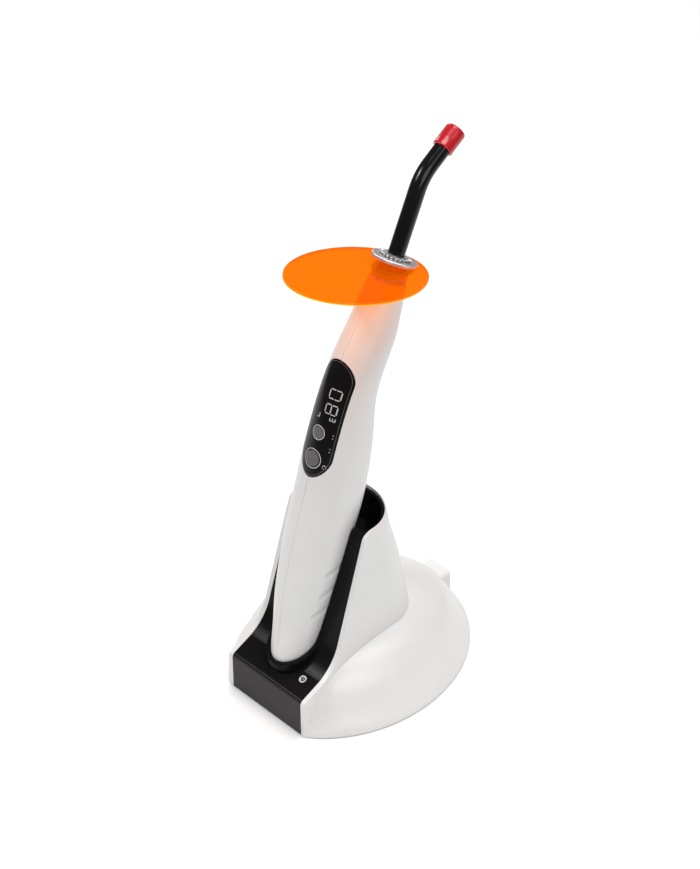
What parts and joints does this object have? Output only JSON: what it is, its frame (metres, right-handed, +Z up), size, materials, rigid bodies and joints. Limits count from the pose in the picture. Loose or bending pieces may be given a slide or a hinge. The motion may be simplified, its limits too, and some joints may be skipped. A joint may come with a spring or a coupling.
{
  "type": "dental curing light",
  "caption": "Cordless dental curing light in a charging stand: leaning handpiece with display panel and buttons, bent light guide, oval orange shield and tip cap.",
  "frame": {"origin": "centre of the stand's oval footprint, on the surface it stands on", "axes": "+Z up; -Y is the front of the stand, where the deck and the pocket are; the object is laid out about the plane X = 0"},
  "size_m": [0.101, 0.1198, 0.2592],
  "materials": {
    "white_plastic": "satin moulded plastic",
    "black_gloss": "glossy moulded plastic",
    "black_matte": "fine grain",
    "bright_metal": "polished",
    "turned_metal": "turned",
    "steel": "plain",
    "ballast": "as cast",
    "brass": "gold plated",
    "board_green": "solder mask",
    "lead_red": "insulated wire",
    "foot_rubber": "soft",
    "lamp_clear": "diffused epoxy",
    "display_light": "lit strokes",
    "button_grey": "satin",
    "cell_wrap": "shrink sleeve",
    "fibre_glass": "polished end",
    "orange_filter": "translucent",
    "red_silicone": "glossy"
  },
  "bodies": {
    "stand": {"base_shell": "white_plastic", "cradle_insert": "black_gloss", "indicator_bezel": "bright_metal", "indicator_led": "lamp_clear", "bottom_plate": "black_matte", "foot_ring": "foot_rubber", "base_screws": "steel", "ballast_weight": "ballast", "charger_board": "board_green", "dc_jack": "black_matte", "contact_block": "black_matte", "pin_barrels": "brass", "contact_leads": "lead_red"},
    "handpiece": {"left_shell": "white_plastic", "right_shell": "white_plastic", "shell_screws": "steel", "display_window": "black_gloss", "display_segments": "display_light", "display_module": "black_matte", "main_board": "board_green", "tact_switches": "black_matte", "buzzer": "black_matte", "battery": "cell_wrap", "battery_contacts": "steel", "heat_sink": "turned_metal", "led_emitter": "turned_metal", "reflector": "bright_metal", "head_socket": "turned_metal", "contact_cap": "black_matte", "charge_contacts": "brass"},
    "power_button": {"power_button": "button_grey"},
    "mode_button": {"mode_button": "button_grey"},
    "charge_pin_left": {"charge_pin_left": "brass"},
    "charge_pin_right": {"charge_pin_right": "brass"},
    "retaining_ring": {"retaining_ring": "steel"},
    "light_guide": {"guide_core": "fibre_glass", "guide_jacket": "black_gloss", "guide_collar": "bright_metal"},
    "light_shield": {"light_shield": "orange_filter"},
    "tip_cap": {"tip_cap": "red_silicone"}
  },
  "joints": [
    {"name": "handpiece_lift", "type": "slide", "parent": "stand", "child": "handpiece", "axis": [0, 0.3463, 0.9381], "range_m": [0, 0.11]},
    {"name": "charge_pin_left_press", "type": "slide", "parent": "stand", "child": "charge_pin_left", "axis": [0, 0.3463, 0.9381], "range_m": [-0.0012, 0], "stiffness_N_per_m": 150},
    {"name": "charge_pin_right_press", "type": "slide", "parent": "stand", "child": "charge_pin_right", "axis": [0, 0.3463, 0.9381], "range_m": [-0.0012, 0], "stiffness_N_per_m": 150},
    {"name": "power_button_press", "type": "slide", "parent": "handpiece", "child": "power_button", "axis": [0, 0.9381, -0.3463], "range_m": [0, 0.0005], "stiffness_N_per_m": 1500},
    {"name": "mode_button_press", "type": "slide", "parent": "handpiece", "child": "mode_button", "axis": [0, 0.9381, -0.3463], "range_m": [0, 0.0005], "stiffness_N_per_m": 1500},
    {"name": "shield_turn", "type": "hinge", "parent": "handpiece", "child": "light_shield", "pos_m": [0, 0.02633, 0.2095], "axis": [0, 0.4242, 0.9056], "continuous": true},
    {"name": "guide_turn", "type": "hinge", "parent": "handpiece", "child": "retaining_ring", "pos_m": [0, 0.02633, 0.2095], "axis": [0, 0.4242, 0.9056], "continuous": true},
    {"name": "guide_pull", "type": "slide", "parent": "retaining_ring", "child": "light_guide", "axis": [0, 0.4242, 0.9056], "range_m": [0, 0.02]},
    {"name": "cap_pull", "type": "slide", "parent": "light_guide", "child": "tip_cap", "axis": [0, 0.8396, 0.5432], "range_m": [0, 0.012]}
  ]
}
